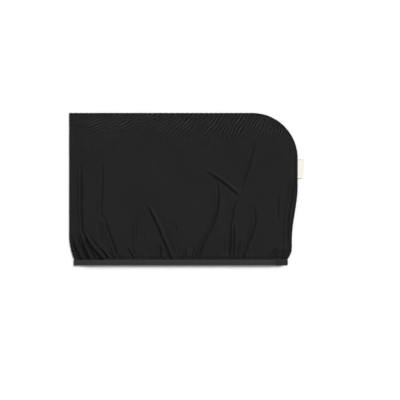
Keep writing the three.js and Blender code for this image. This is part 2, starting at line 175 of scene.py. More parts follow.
SOFT_WAVES = [
    {"length": 150, "rise": 0.55, "seed": 41},
    {"length": 55, "rise": 0.22, "seed": 42},
]
BACK_GATHER = {"length": 24, "rise": 0.6, "seed": 51}
BACK_GATHER_REACH = 90
NOTCH_UNEVEN = {"length": 70, "middle": 0.6, "rise": 0.4, "seed": 61}
NOTCH_DRIFT = {"length": 130, "rise": 0.3, "seed": 62}
WAVE_COUNT = 7
WAVE_SPREAD = (0.75, 1.6)

# Fineness of the meshes and textures. The painted moiré sets in between the two places of a band.
FRONT_COLUMNS = 521
BACK_COLUMNS = 150
TURN_STEPS = 6
HOLE_PITCH_FRONT = 1.4
HOLE_PITCH_BACK = 1.1
MOIRE_PITCH = 10.1
MOIRE_BAND_TOP = (165, 190)
MOIRE_BAND_LEFT = (-270, -330)
RIB_PITCH = 1.4
RIB_ROW_PITCH = 1.1
WEAVE_PITCH = 0.5

# Stage
FLOOR_HALF = 12000
FLOOR_LEVEL = -0.2
CAMERA_Z = 3200
CAMERA_PLACE = (54.1, -36.0)
FRAME_WIDTH = 1312.8
SENSOR_WIDTH = 36

# Sizes that follow from these
half_mesh = MESH_THICKNESS / 2
turn_rise = MESH_THICKNESS + THREAD_THICKNESS + 2 * LAYER_GAP
turn_radius = turn_rise / 2
turn_inset = turn_radius + half_mesh
back_z = half_mesh
back_edge_z = back_z + turn_rise
front_edge_z = back_edge_z + MESH_THICKNESS + LAYER_GAP
front_z = front_edge_z + turn_rise
slot_half = half_mesh + LAYER_GAP
binding_half = slot_half + BINDING_WALL
lap_step = BINDING_WALL + LAYER_GAP
binding_turn_radius = max((front_z - back_z) / 2, binding_half + LAYER_GAP / 2)
binding_inset = binding_turn_radius + binding_half
back_run_z = binding_half
front_run_end_z = back_run_z + 2 * binding_turn_radius
front_run_z = 3 * binding_half + MOUTH_OPENING
binding_left = -SLEEVE_WIDTH / 2 + LEFT_PULL
binding_right = SLEEVE_WIDTH / 2 - RIGHT_SLANT - RIGHT_PULL
leaf_offset = (LABEL_THICKNESS + LAYER_GAP) / 2
label_half = leaf_offset + LABEL_THICKNESS / 2
label_root_z = back_edge_z + half_mesh + LAYER_GAP + label_half
label_tuck = SEAM_ALLOWANCE - LAYER_GAP - LABEL_LENGTH / 2 * math.sin(LABEL_TILT)
label_lift = 2 * label_half + LAYER_GAP
label_low = LABEL_CENTRE - LABEL_LENGTH / 2 - LABEL_MARGIN
label_high = LABEL_CENTRE + LABEL_LENGTH / 2 + LABEL_MARGIN
hem_y = -SLEEVE_HEIGHT / 2
top_y = SLEEVE_HEIGHT / 2
panel_foot = BINDING_WALL + LAYER_GAP
seam_foot = BINDING_WIDTH + LAYER_GAP
corner_foot = SLEEVE_HEIGHT - CORNER_RADIUS
corner_x = SLEEVE_WIDTH / 2 - CORNER_RADIUS
corner_y = top_y - CORNER_RADIUS


# Outline of the sleeve. An inset moves it inwards.


def smoothstep(value, low, high):
    share = np.clip((value - low) / (high - low), 0, 1)
    return share * share * (3 - 2 * share)


def pull_share(height, reach):
    return np.clip((BINDING_WIDTH + reach - height) / reach, 0, 1) ** 2


def left_x(height):
    cloth_pull = LEFT_PULL + binding_inset - turn_inset
    return -SLEEVE_WIDTH / 2 + cloth_pull * pull_share(height, LEFT_PULL_REACH)


def right_x(height):
    cloth_pull = RIGHT_PULL + binding_inset - turn_inset
    slant_foot = BINDING_WIDTH + RIGHT_SLANT_FOOT
    slant_head = corner_foot - RIGHT_SLANT_HEAD
    slant = RIGHT_SLANT * (1 - smoothstep(height, slant_foot, slant_head))
    return SLEEVE_WIDTH / 2 - slant - cloth_pull * pull_share(height, RIGHT_PULL_REACH)


def corner_point(angle, inset):
    radius = CORNER_RADIUS - inset
    return corner_x + radius * np.cos(angle), corner_y + radius * np.sin(angle)


def left_edge(height, inset):
    return left_x(height) + inset, np.minimum(hem_y + height, top_y - inset)


def right_edge(height, inset):
    round_x, round_y = corner_point(math.pi / 4 * (height - corner_foot) / CORNER_RADIUS, inset)
    straight = height <= corner_foot
    x = np.where(straight, right_x(height) - inset, round_x)
    return x, np.where(straight, hem_y + height, round_y)


def top_edge(u, inset):
    share = 1 - CORNER_RADIUS / SLEEVE_WIDTH
    round_x, round_y = corner_point(math.pi / 2 - math.pi / 4 * (u - share) / (1 - share), inset)
    straight = u <= share
    flat_x = -SLEEVE_WIDTH / 2 + np.maximum(u * SLEEVE_WIDTH, inset)
    return np.where(straight, flat_x, round_x), np.where(straight, top_y - inset, round_y)


def panel_point(u, height):
    """Point at share u of the width, on the row that starts at this height on the left."""
    share = ((height - panel_foot) / (SLEEVE_HEIGHT - panel_foot)) ** 3
    parts = zip(
        left_edge(height, turn_inset),
        right_edge(height, turn_inset),
        left_edge(SLEEVE_HEIGHT, turn_inset),
        right_edge(np.float64(SLEEVE_HEIGHT), turn_inset),
        top_edge(u, turn_inset),
    )
    return [a + (b - a) * u + share * (top - (c + (d - c) * u)) for a, b, c, d, top in parts]


def rim_distance(x, y):
    """Distances from the left, top and right seams. The round corner counts as both top and right."""
    corner = CORNER_RADIUS - np.hypot(x - corner_x, y - corner_y)
    in_corner = (x > corner_x) & (y > corner_y)
    left = x - left_x(y - hem_y)
    top = np.where(in_corner, corner, top_y - y)
    right = np.where(in_corner, corner, right_x(y - hem_y) - x)
    return left, top, right


def away_from_seams(x, y, distance):
    left, top, right = (smoothstep(gap, 0, distance) for gap in rim_distance(x, y))
    return left * top * right


# Levels of the middle of the cloth's thickness


def hem_share(height):
    return 1 - smoothstep(height, seam_foot, seam_foot + HEM_EASE)


def lift_at(height):
    below = smoothstep(height, label_low - LABEL_EASE, label_low)
    return label_lift * below * (1 - smoothstep(height, label_high, label_high + LABEL_EASE))


def front_rim_z(height, lift):
    return front_z + (front_run_end_z - front_z) * hem_share(height) + lift


def back_rim_z(height):
    return back_z + (back_run_z - back_z) * hem_share(height)


def back_turn_z(height, _):
    """The label lifts the front panel alone."""
    return back_rim_z(height)


def front_run_at(x):
    from_end = np.minimum(x - binding_left, binding_right - x)
    share = smoothstep(from_end, binding_inset, binding_inset + MOUTH_RUN)
    return front_run_end_z + (front_run_z - front_run_end_z) * share


# Folds, puckers and soft waves of the front panel


def fold(*line, rise, sides, hollows=(0, 0)):
    """A crease along a line from its head to its foot.

    Its rise is negative for a groove. It has the widths of its left and right sides, and the depths of the
    hollows beside them, which are negative for small ridges.
    """
    return {"line": line, "rise": rise, "sides": sides, "hollows": hollows}


FOLDS = [
    fold((-362, -148), (-350, -182), (-330, -225), rise=12, sides=(3.4, 4.8), hollows=(3.4, 4)),
    fold((-338, 80), (-337, -20), (-335, -125), (-326, -172),
         rise=-5.5, sides=(2.8, 5), hollows=(-4, 0)),
    fold((-336, -135), (-331, -155), (-320, -188), (-303, -226),
         rise=10, sides=(3.2, 4.4), hollows=(4, 3.5)),
    fold((-324, -142), (-310, -165), (-295, -187), (-280, -203), (-260, -225),
         rise=11.5, sides=(3.6, 4.2), hollows=(3.5, 4)),
    fold((-267, -200), (-248, -226), rise=-4.5, sides=(2.8, 3), hollows=(0, -3)),
    fold((-244, -209), (-226, -226), rise=-4, sides=(2.8, 3), hollows=(-1.5, 0)),
    fold((-266, 95), (-269, -20), (-272, -60), (-269, -90), (-258, -108),
         rise=-4, sides=(3, 4.5), hollows=(-1.5, 0)),
    fold((-263, -84), (-252, -125), (-240, -160), (-216, -226),
         rise=-5, sides=(3.2, 5), hollows=(-4, -0.5)),
    fold((-278, -100), (-276, -142), (-268, -185), rise=-2.5, sides=(8, 8)),
    fold((-180, -190), (-160, -222), rise=5, sides=(3.2, 3.2), hollows=(2.5, 2.5)),
    fold((-153, -75), (-161, -128), (-162, -185), rise=3, sides=(3.2, 3), hollows=(0.5, 2.5)),
    fold((-136, -138), (-136, -175), rise=2, sides=(2.5, 2.5), hollows=(1, 1.2)),
    fold((-123, -40), (-104, -73), (-92, -96), (-77, -127), (-67, -155), (-55, -180), (-38, -222),
         rise=5.5, sides=(3.4, 7), hollows=(4.5, 1)),
    fold((-84, -172), (-75, -195), (-76, -224), rise=-5, sides=(2.8, 2.8), hollows=(-2.5, -2.5)),
    fold((-58, -195), (-54, -222), rise=-3, sides=(2.6, 2.6), hollows=(-1.5, -1)),
    fold((-30, -108), (-22, -138), rise=-2.5, sides=(3.2, 3.2), hollows=(0, -0.8)),
    fold((-25, -178), (-17, -197), (-22, -222), rise=-2.5, sides=(4.5, 4.5), hollows=(-1, -1)),
    fold((7, -180), (6, -225), rise=-3, sides=(3, 3), hollows=(-1.5, -1.5)),
    fold((42, -180), (34, -222), rise=3, sides=(3.2, 3.2), hollows=(2, 1.5)),
    fold((64, 69), (90, 52), (123, 31), (155, 6), (188, -23),
         rise=5, sides=(3.4, 7), hollows=(4.2, 0.5)),
    fold((108, 29), (113, -20), (111, -63), (101, -102), (83, -142), (64, -178), (50, -222),
         rise=-4.2, sides=(3.6, 3.6), hollows=(-1.8, -1.6)),
    fold((185, -20), (168, -46), (159, -89), (155, -115), (151, -168), (147, -215),
         rise=-4.4, sides=(4, 4), hollows=(-1.6, -1.6)),
    fold((165, -102), (164, -168), (164, -227), rise=-4.6, sides=(2.8, 2.8), hollows=(-2.2, -2.2)),
    fold((139, -155), (136, -208), rise=2.4, sides=(3.2, 3.2), hollows=(1, 1)),
    fold((237, 174), (218, 95), (201, 46), (186, -7), rise=-3.6, sides=(5.5, 5.5), hollows=(-0.5, -1.4)),
    fold((226, -43), (234, -92), (227, -135), (211, -180), (193, -225),
         rise=-4.4, sides=(4, 4), hollows=(-1.6, -1.6)),
    fold((185, -165), (177, -212), rise=-3.4, sides=(3.4, 3.4), hollows=(-0.8, -0.8)),
    fold((309, -12), (309, -112), rise=-3.8, sides=(3, 3), hollows=(-0.6, -0.6)),
    fold((362, 50), (352, -36), (341, -102), (338, -192),
         rise=-4.2, sides=(4.2, 4.6), hollows=(-2.6, -3)),
    fold((313, -189), (296, -206), (276, -226), rise=-4.6, sides=(3.4, 3.4), hollows=(-1, -3.2)),
    fold((320, -198), (306, -227), rise=3.8, sides=(2.6, 2.6), hollows=(2.4, 2.4)),
    fold((336, -194), (325, -227), rise=3.8, sides=(2.6, 2.6), hollows=(2.4, 2.4)),
]


def smooth_line(points):
    """A smooth curve through the points, as places a few millimetres apart."""
    points = np.array(points, float)
    padded = np.vstack([2 * points[0] - points[1], points, 2 * points[-1] - points[-2]])
    places = []
    for a, b, c, d in zip(padded, padded[1:], padded[2:], padded[3:]):
        count = max(2, int(np.hypot(*(c - b)) / FOLD_STEP))
        t = np.linspace(0, 1, count, endpoint=False)[:, None]
        curve = 2 * b + (c - a) * t
        curve += (2 * a - 5 * b + 4 * c - d) * t**2
        curve += (3 * b - a - 3 * c + d) * t**3
        places.append(0.5 * curve)
    return np.vstack([*places, points[-1:]])


def bump(offset, left, right):
    """A smooth bump, 1 at no offset. It is down to a third at each side's width, and ends at twice that."""
    share = offset / np.where(offset > 0, right, left)
    return np.clip(1 - share**2 / 4, 0, 1) ** 4


def strip_relief(distance, strip):
    """Relief of a ridge or groove that runs along an edge, at this distance from the edge."""
    return strip["rise"] * bump(distance - strip["inset"], *strip["sides"])


def hollow_place(side_width):
    """How far a fold's hollow lies from its middle, and how wide each of its sides is."""
    away = HOLLOW_AWAY_SHARE * side_width + HOLLOW_AWAY
    return away, HOLLOW_SIDE_SHARE * side_width + HOLLOW_SIDE


def fold_relief(x, y, shape):
    """Relief of one fold at points x, y."""
    left, right = shape["sides"]
    hollow_left, hollow_right = shape["hollows"]
    line = smooth_line(shape["line"])
    hollow_away, hollow_side = hollow_place(max(left, right))
    reach = hollow_away + 2 * hollow_side
    near = (x > line[:, 0].min() - reach) & (x < line[:, 0].max() + reach)
    near &= (y > line[:, 1].min() - reach) & (y < line[:, 1].max() + reach)
    result = np.zeros_like(x)
    if not near.any():
        return result
    px, py = x[near], y[near]
    start, along = line[:-1], np.diff(line, axis=0)
    length = np.hypot(along[:, 0], along[:, 1])
    before = np.concatenate([[0], np.cumsum(length)])
    best = np.full(px.shape, np.inf)
    side, place = np.zeros_like(px), np.zeros_like(px)
    for (sx, sy), (ax, ay), run, run_before in zip(start, along, length, before):
        ox, oy = px - sx, py - sy
        share = np.clip((ox * ax + oy * ay) / run**2, 0, 1)
        gap = np.hypot(ox - share * ax, oy - share * ay)
        closer = gap < best
        side[closer] = np.where(ax * oy > ay * ox, gap, -gap)[closer]
        place[closer] = (run_before + share * run)[closer]
        best[closer] = gap[closer]
    total = before[-1]
    fade = smoothstep(place, -FOLD_END_EASE, min(FOLD_HEAD_SHARE * total, FOLD_HEAD_RUN))
    if line[-1][1] > hem_y + FOLD_FOOT_CLEAR:
        foot_run = min(FOLD_FOOT_SHARE * total, FOLD_FOOT_RUN)
        fade = fade * (1 - smoothstep(place, total - foot_run, total + FOLD_END_EASE))
    profile = shape["rise"] * bump(side, left, right)
    for depth, width, sign in ((hollow_left, left, 1), (hollow_right, right, -1)):
        away, half = hollow_place(width)
        profile -= depth * bump(side + sign * away, half, half)
    result[near] = profile * fade
    return result


def waves(x, y, length, seed):
    """A smooth uneven field between about -1 and 1, with bumps about this long."""
    random = np.random.default_rng(seed)
    total = np.zeros_like(x)
    for _ in range(WAVE_COUNT):
        angle, phase = random.uniform(0, 2 * math.pi, 2)
        step = 2 * math.pi / (length * random.uniform(*WAVE_SPREAD))
        total += np.sin(step * (x * math.cos(angle) + y * math.sin(angle)) + phase)
    return 2 * total / WAVE_COUNT


def waves_along(x, wave, seed_shift=0):
    """Such a field along one direction alone, as high as the wave says."""
    return wave["rise"] * waves(x, 0 * x, wave["length"], wave["seed"] + seed_shift)


def uneven_share(x, shape, seed):
    """A share that changes along one direction, within limits."""
    share = shape["middle"] + shape["rise"] * waves(x, 0 * x, shape["length"], seed)
    return np.clip(share, *shape["limits"])


def pucker_relief(x, y):
    """Fine uneven gathers where the stretched elastic has drawn the cloth in."""
    above = y - hem_y - seam_foot
    shift = PUCKER_SHIFT["rise"] * waves(x, y, PUCKER_SHIFT["length"], PUCKER_SHIFT["seed"])
    total = np.zeros_like(x)
    for count, pucker in enumerate(PUCKERS):
        turns = (x + shift + above * waves_along(x, PUCKER_LEAN, count)) / pucker["length"]
        wave = np.cos(2 * math.pi * turns + waves_along(x, PUCKER_PHASE, count))
        strength = uneven_share(x, PUCKER_STRENGTH, pucker["seed"])
        reach = pucker["reach"] * uneven_share(x, PUCKER_REACH, PUCKER_REACH["seed"] + pucker["seed"])
        total += pucker["rise"] * strength * wave * np.clip(1 - above / reach, 0, 1) ** PUCKER_FADE
    return total * smoothstep(above, 0, CREASE_RISE) + strip_relief(above, HEM_GROOVE)


def straight_side(y):
    """1 beside the straight part of the right side, falling to 0 round the corner and at the foot."""
    low, high = RIM_FADE_AT_CORNER
    below_corner = 1 - smoothstep(y, corner_y + low, corner_y + high)
    return below_corner * smoothstep(y, hem_y + seam_foot, hem_y + seam_foot + RIM_FADE_AT_HEM)


def rim_shape(x, y):
    """Relief that the seam gives the rim.

    Its layers stand proud along the right rim, with a groove inside them. Its stitches gather the left rim
    into small pleats, deepest below the middle.
    """
    left, _, right = rim_distance(x, y)
    deepest = PLEAT_LEAST + bump(y - PLEATS_HEART, PLEATS_HALF_SPAN, PLEATS_HALF_SPAN)
    pleats = PLEAT_RISE * np.cos(2 * math.pi * y / PLEAT_PITCH) * strip_relief(left, PLEAT_STRIP) * deepest
    strength = smoothstep(straight_side(y), 0, 1)
    return strength * (strip_relief(right, RIM_RIDGE) + strip_relief(right, RIM_GROOVE)) + pleats


def front_level(x, y, height):
    share = hem_share(height)
    lift = lift_at(height) * (1 - smoothstep(right_x(height) - x, SEAM_ALLOWANCE, LOFT_RUN))
    loft = LOFT * away_from_seams(x, y, LOFT_RUN)
    loft = loft + (front_run_at(x) - front_run_end_z - loft) * share
    rise = smoothstep(y - hem_y - seam_foot, 0, CREASE_RISE)
    creases = sum(fold_relief(x, y, fold) for fold in FOLDS) * rise + pucker_relief(x, y)
    soft = sum(wave["rise"] * waves(x, y, wave["length"], wave["seed"]) for wave in SOFT_WAVES)
    inside = away_from_seams(x, y, 2 * SEAM_ALLOWANCE)
    z = front_rim_z(height, lift) + loft + creases * inside + soft * (1 - share) * inside
    z = z + rim_shape(x, y)
    lowest = back_level(x, y, height) + LAYERS_APART
    held_up = (z + lowest + np.hypot(z - lowest, LAYERS_EASE)) / 2
    return z + (held_up - z) * inside


BACK_SWELLS = [
    fold((-105, 125), (-135, -10), (-165, -150), rise=1.8, sides=(46, 23)),
    fold((120, 110), (142, -20), (165, -150), rise=1.6, sides=(42, 21)),
]


def back_level(x, y, height):
    swells = sum(fold_relief(x, y, swell) for swell in BACK_SWELLS)
    above = y - hem_y - seam_foot
    gathers = BACK_GATHER["rise"] + waves_along(x, BACK_GATHER)
    gathers = gathers * np.clip(1 - above / BACK_GATHER_REACH, 0, 1) ** 2
    gathers = np.clip(gathers, 0, None) * smoothstep(above, 0, CREASE_RISE)
    return back_rim_z(height) + (swells + gathers) * away_from_seams(x, y, 4 * SEAM_ALLOWANCE) ** 2


# Mesh building


def make_object(name, points, faces, material):
    mesh = bpy.data.meshes.new(name)
    mesh.from_pydata((np.asarray(points) * MM).tolist(), [], np.asarray(faces).tolist())
    mesh.validate()
    mesh.shade_smooth()
    mesh.materials.append(material)
    obj = bpy.data.objects.new(name, mesh)
    bpy.context.scene.collection.objects.link(obj)
    return obj


def grid_faces(rows, columns, closed=False):
    """Quads between rows of points, counted row by row."""
    span = columns if closed else columns - 1
    row, column = np.meshgrid(np.arange(rows - 1), np.arange(span), indexing="ij")
    a = row * columns + column
    b = row * columns + (column + 1) % columns
    return np.stack([a, b, b + columns, a + columns], axis=-1).reshape(-1, 4)


def notch(x, y):
    """How far each stitch of the seam draws the rim in."""
    left, top, right = rim_distance(x, y)
    along = np.where(top < np.minimum(left, right), x, y)
    uneven = NOTCH_UNEVEN["middle"] + waves_along(along, NOTCH_UNEVEN)
    turns = along / PLEAT_PITCH + waves_along(along, NOTCH_DRIFT)
    dents = NOTCH_DEPTH * uneven * (0.5 + 0.5 * np.cos(2 * math.pi * turns)) ** 2
    return dents * (1 - smoothstep(np.minimum(np.minimum(left, top), right), 0, NOTCH_REACH))


def draw_in(x, y):
    """Moves points near the rim inwards by the notches."""
    left, top, right = rim_distance(x, y)
    nearest = np.argmin([left, top, right], axis=0)
    size = notch(x, y)
    angle = np.arctan2(y - corner_y, x - corner_x)
    round_part = (x > corner_x) & (y > corner_y)
    dx = np.where(round_part, -np.cos(angle), np.choose(nearest, [1.0, 0.0, -1.0]))
    dy = np.where(round_part, -np.sin(angle), np.choose(nearest, [0.0, -1.0, 0.0]))
    return x + dx * size, y + dy * size


def rim_loop(side, top_u, inset):
    """Points along the left side, the top and the right side, this far inside the outline."""
    parts = [left_edge(side, inset), top_edge(top_u, inset), right_edge(side[::-1], inset)]
    x, y = (np.concatenate(values) for values in zip(*parts))
    return draw_in(x, y)


def rim_levels(side, top_u):
    """Heights up the sleeve at the same points, and how far the label lifts the rim there."""
    heights = np.concatenate([side, np.full(len(top_u), float(SLEEVE_HEIGHT)), side[::-1]])
    lifts = np.concatenate([0 * side, 0 * top_u, lift_at(side)[::-1]])
    return heights, lifts


def make_panel(name, heights, columns, level_at, foot_rise, rim_z, turn, material):
    """One panel as a sheet with its turned edge. turn is -1 for an edge that goes down, and 1 for up."""
    u, height = np.meshgrid(np.linspace(0, 1, columns), heights)
    x, y = panel_point(u, height)
    z = level_at(x, y, height)
    y = y + foot_rise(x) * (1 - smoothstep(height, BINDING_WIDTH / 2, BINDING_WIDTH))
    x, y = draw_in(x, y)
    points = [np.stack([x, y, z], axis=-1).reshape(-1, 3)]
    faces = [grid_faces(len(heights), columns)]

    index = np.arange(len(heights) * columns).reshape(len(heights), columns)
    first = int(np.searchsorted(heights, seam_foot))
    rim = np.concatenate([index[first:, 0], index[-1, 1:-1], index[first:, -1][::-1]])
    side, top_u = heights[first:], np.linspace(0, 1, columns)[1:-1]
    loops = [rim]
    count = len(points[0])
    for step in range(1, TURN_STEPS + 2):
        angle = math.pi * min(step, TURN_STEPS) / TURN_STEPS
        inset = SEAM_ALLOWANCE if step > TURN_STEPS else turn_inset - turn_radius * math.sin(angle)
        loop_x, loop_y = rim_loop(side, top_u, inset)
        loop_z = rim_z(*rim_levels(side, top_u)) + turn * turn_radius * (1 - math.cos(angle))
        points.append(np.stack([loop_x, loop_y, loop_z], axis=-1))
        loops.append(count + np.arange(len(rim)))
        count += len(rim)
    for inner, outer in zip(loops, loops[1:]):
        faces.append(np.stack([inner[:-1], outer[:-1], outer[1:], inner[1:]], axis=-1))
    return make_object(name, np.vstack(points), np.vstack(faces), material)


def tube(path, radius):
    """Points and faces of a thread along a path. The guide is a direction that no thread here runs in."""
    path = np.asarray(path, float)
    after = np.vstack([path[1:], 2 * path[-1:] - path[-2:-1]])
    before = np.vstack([2 * path[:1] - path[1:2], path[:-1]])
    tangent = after - before
    tangent /= np.linalg.norm(tangent, axis=1, keepdims=True)
    guide = np.array([0.31, 0.17, 0.94])
    across = np.cross(tangent, guide)
    across /= np.linalg.norm(across, axis=1, keepdims=True)
    up = np.cross(across, tangent)
    angle = 2 * math.pi * np.arange(THREAD_SIDES) / THREAD_SIDES
    ring = across[:, None] * np.cos(angle)[None, :, None] + up[:, None] * np.sin(angle)[None, :, None]
    points = (path[:, None] + radius * ring).reshape(-1, 3)
    return points, grid_faces(len(path), THREAD_SIDES, closed=True)


def join_parts(parts):
    points, faces, count = [], [], 0
    for part_points, part_faces in parts:
        points.append(part_points)
        faces.append(part_faces + count)
        count += len(part_points)
    return np.vstack(points), np.vstack(faces)


# Pieces


def make_overlock(material):
    """Loops of thread over both turned edges, one every few millimetres, and a needle line inside them."""
    side, top_u = np.arange(seam_foot, SLEEVE_HEIGHT, SEAM_STEP), np.linspace(0, 1, SEAM_TOP_STEPS)[1:-1]
    levels = rim_levels(side, top_u)
    x, y = rim_loop(side, top_u, SEAM_ALLOWANCE / 2)
    distance = np.concatenate([[0], np.cumsum(np.hypot(np.diff(x), np.diff(y)))])
    away = half_mesh + LAYER_GAP + THREAD_THICKNESS / 2
    start = np.stack(rim_loop(side, top_u, OVERLOCK_START + LAYER_GAP))
    edge = np.stack(rim_loop(side, top_u, SEAM_ALLOWANCE + LAYER_GAP + THREAD_THICKNESS / 2))

    def place_at(run, out):
        """Places at these distances along the seam. out is 0 at the inner end of the loops, and 1 outside."""
        inner, outer = ([np.interp(run, distance, axis) for axis in track] for track in (start, edge))
        return [a + (b - a) * out for a, b in zip(inner, outer)]

    loop = [
        {"out": 0, "side": -1, "share": 0.0},
        {"out": 0.5, "side": -1, "share": 0.12},
        {"out": 1, "side": -1, "share": 0.25},
        {"out": 1.03, "side": 0, "share": 0.35},
        {"out": 1, "side": 1, "share": 0.45},
        {"out": 0.5, "side": 1, "share": 0.6},
        {"out": 0, "side": 1, "share": 0.8},
    ]
    count = int((distance[-1] - 2 * OVERLOCK_END) / OVERLOCK_PITCH)
    turns = np.array([turn + point["share"] for turn in range(count) for point in loop])
    run = OVERLOCK_END + turns * OVERLOCK_PITCH
    out, face = (np.tile([point[key] for point in loop], count) for key in ("out", "side"))
    low = np.interp(run, distance, back_rim_z(levels[0]) + turn_rise) - away
    high = np.interp(run, distance, front_rim_z(*levels) - turn_rise) + away
    z = (low + high) / 2 + face * (high - low) / 2
    parts = [tube(np.stack([*place_at(run, out), z], axis=-1), THREAD_THICKNESS / 2)]
    steps = np.arange(OVERLOCK_END, distance[-1] - OVERLOCK_END, NEEDLE_STEP)
    wobble = NEEDLE_WOBBLE * np.sin(2 * math.pi * steps / OVERLOCK_PITCH)
    for level in (high, low):
        line = [*place_at(steps, NEEDLE_PLACE), np.interp(steps, run, level) + wobble]
        parts.append(tube(np.stack(line, axis=-1), NEEDLE_RADIUS))
    return make_object("seam_overlock_thread", *join_parts(parts), material)


def end_rise(x):
    """The lapped end of the front run sits a little higher up the sleeve."""
    start, end = LAP_END_SPAN
    return LAP_END_RISE * smoothstep(x, binding_right - start, binding_right - end)


def band_outline(growth):
    """Section of the folded elastic, as offsets from the run's middle and heights up the sleeve."""
    outer = binding_half + growth * lap_step
    inner = slot_half + growth * lap_step
    foot = -growth * lap_step
    curve = np.linspace(0, -math.pi, BINDING_FOLD_STEPS)
    outside = [(outer * math.cos(a), foot + outer + outer * math.sin(a)) for a in curve]
    inside = [(-inner * math.cos(a), foot + outer + inner * math.sin(a)) for a in curve]
    middle = (outer + inner) / 2
    bevel, drop = BINDING_EDGE_BEVEL, -BINDING_EDGE_ROUND
    rounded = [(outer - bevel, drop), (middle, 0.0), (inner + bevel, drop)]
    right_top = [(offset, BINDING_WIDTH + rise) for offset, rise in rounded]
    left_top = [(-offset, height) for offset, height in right_top]
    steps = np.linspace(0.75, 0.25, 3) * BINDING_WIDTH
    right_wall = [(outer, height) for height in steps]
    left_wall = [(-outer, height) for height in steps[::-1]]
    left_inner = [(-inner, height) for height in steps]
    right_inner = [(inner, height) for height in steps[::-1]]
    outer_side = [*right_wall, *outside, *left_wall, *left_top]
    return np.array([*outer_side, *left_inner, *inside, *right_inner, *right_top[::-1]])


def band_route():
    """Stations along the binding: place, height, direction of its thickness and how far it laps."""
    left_end, right_end = binding_left + binding_inset, binding_right - binding_inset
    turn_z = back_run_z + binding_turn_radius
    start = binding_right - LAP_INNER
    route = []

    def along_front(places, growths):
        slope = front_run_at(places + 0.5) - front_run_at(places - 0.5)
        route.extend(zip(places, front_run_at(places), math.pi / 2 + np.arctan(slope), growths))

    def round_end(x, first):
        for angle in first + np.linspace(0, math.pi, END_STATIONS):
            place = x + binding_turn_radius * math.cos(angle)
            route.append((place, turn_z + binding_turn_radius * math.sin(angle), angle, 0.0))

    places = np.linspace(start, left_end, FRONT_STATIONS)[:-1]
    along_front(places, np.zeros(len(places)))
    round_end(left_end, math.pi / 2)
    for x in np.linspace(left_end, right_end, BACK_STATIONS)[1:-1]:
        route.append((x, back_run_z, 3 * math.pi / 2, 0.0))
    round_end(right_end, -math.pi / 2)
    places = np.linspace(right_end, start + LAYER_GAP, JOGGLE_STATIONS)[1:]
    along_front(places, np.linspace(0, 1, JOGGLE_STATIONS)[1:])
    places = np.linspace(start + LAYER_GAP, binding_right - LAP_OUTER, LAP_STATIONS)[1:]
    along_front(places, np.ones(len(places)))
    return np.array(route)


def make_binding(material):
    sections = []
    for x, z, angle, growth in band_route():
        outline = band_outline(growth)
        offset, height = outline.T
        on_front = z > front_run_end_z - MESH_THICKNESS
        ripple = waves_along(np.array([x]), BINDING_RIPPLE)[0] if on_front else 0
        ripple = ripple * smoothstep(height, BINDING_RIPPLE_START, BINDING_WIDTH)
        section_x = x + offset * math.cos(angle)
        section_z = z + offset * math.sin(angle) + ripple
        rise = end_rise(section_x) * smoothstep(z, back_run_z, front_run_end_z)
        rise = rise * (1 - height / (2 * BINDING_WIDTH))
        section_y = hem_y + height + rise + waves_along(section_x, BINDING_WANDER)
        sections.append(np.stack([section_x, section_y, section_z], axis=-1))
    count = len(sections[0])
    faces = [grid_faces(len(sections), count, closed=True)]
    half = count // 2
    cap = np.array([[i, i + 1, count - 2 - i, count - 1 - i] for i in range(half - 1)])
    faces += [cap[:, ::-1], cap + (len(sections) - 1) * count]
    return make_object("hem_binding_elastic", np.vstack(sections), np.vstack(faces), material)


def stitch(start, end, lift, radius=THREAD_THICKNESS / 2):
    """One stitch that dips into the cloth at both ends."""
    t = np.linspace(0, 1, 5)[:, None]
    path = np.asarray(start) + (np.asarray(end) - np.asarray(start)) * t
    path[:, 2] += lift * np.sin(math.pi * t[:, 0]) - 0.5 * lift
    return tube(path, radius)


def make_stitches(material):
    """The row that holds the binding, on both runs, and the tack across its lap."""
    parts = []
    row = hem_y + BINDING_WIDTH - HEM_STITCH_INSET
    lap_end = binding_right - LAP_OUTER
    start = binding_left + binding_inset + HEM_ROW_START
    while start < binding_right - binding_inset - HEM_ROW_END:
        ends = np.array([start, start + HEM_STITCH - HEM_STITCH_GAP])
        growth = 1.0 if ends[0] > lap_end else 0.0
        z = front_run_at(ends) + binding_half + growth * lap_step
        y = row + end_rise(ends) / 2
        parts.append(stitch((ends[0], y[0], z[0]), (ends[1], y[1], z[1]), STITCH_LIFT))
        below = [(end, row, BACK_STITCH_Z) for end in ends]
        parts.append(stitch(*below, BACK_STITCH_LIFT, radius=BACK_STITCH_RADIUS))
        start += HEM_STITCH
    tack_x = lap_end + TACK_INSET
    heights = np.linspace(*TACK_SPAN, TACK_POINTS)
    top = front_run_at(np.array([tack_x, tack_x + TACK_WIDTH])) + binding_half + lap_step + TACK_LIFT
    path = [
        (tack_x + TACK_WIDTH * (count % 2), hem_y + height, top[count % 2])
        for count, height in enumerate(heights)
    ]
    parts.append(tube(path, THREAD_THICKNESS / 2))
    return make_object("hem_stitching", *join_parts(parts), material)


def thicken(grid, thickness):
    """A closed body from a grid of points, half the thickness to each side."""
    along = np.gradient(grid, axis=0)
    across = np.gradient(grid, axis=1)
    normal = np.cross(along, across)
    normal /= np.linalg.norm(normal, axis=2, keepdims=True)
    rows, columns, _ = grid.shape
    upper = (grid + normal * thickness / 2).reshape(-1, 3)
    lower = (grid - normal * thickness / 2).reshape(-1, 3)
    count = rows * columns
    faces = grid_faces(rows, columns)
    index = np.arange(count).reshape(rows, columns)
    rim = np.concatenate([index[0], index[1:, -1], index[-1, -2::-1], index[-2:0:-1, 0]])
    following = np.roll(rim, -1)
    walls = np.stack([rim, rim + count, following + count, following], axis=-1)
    return np.vstack([upper, lower]), np.vstack([faces[:, ::-1], faces + count, walls])


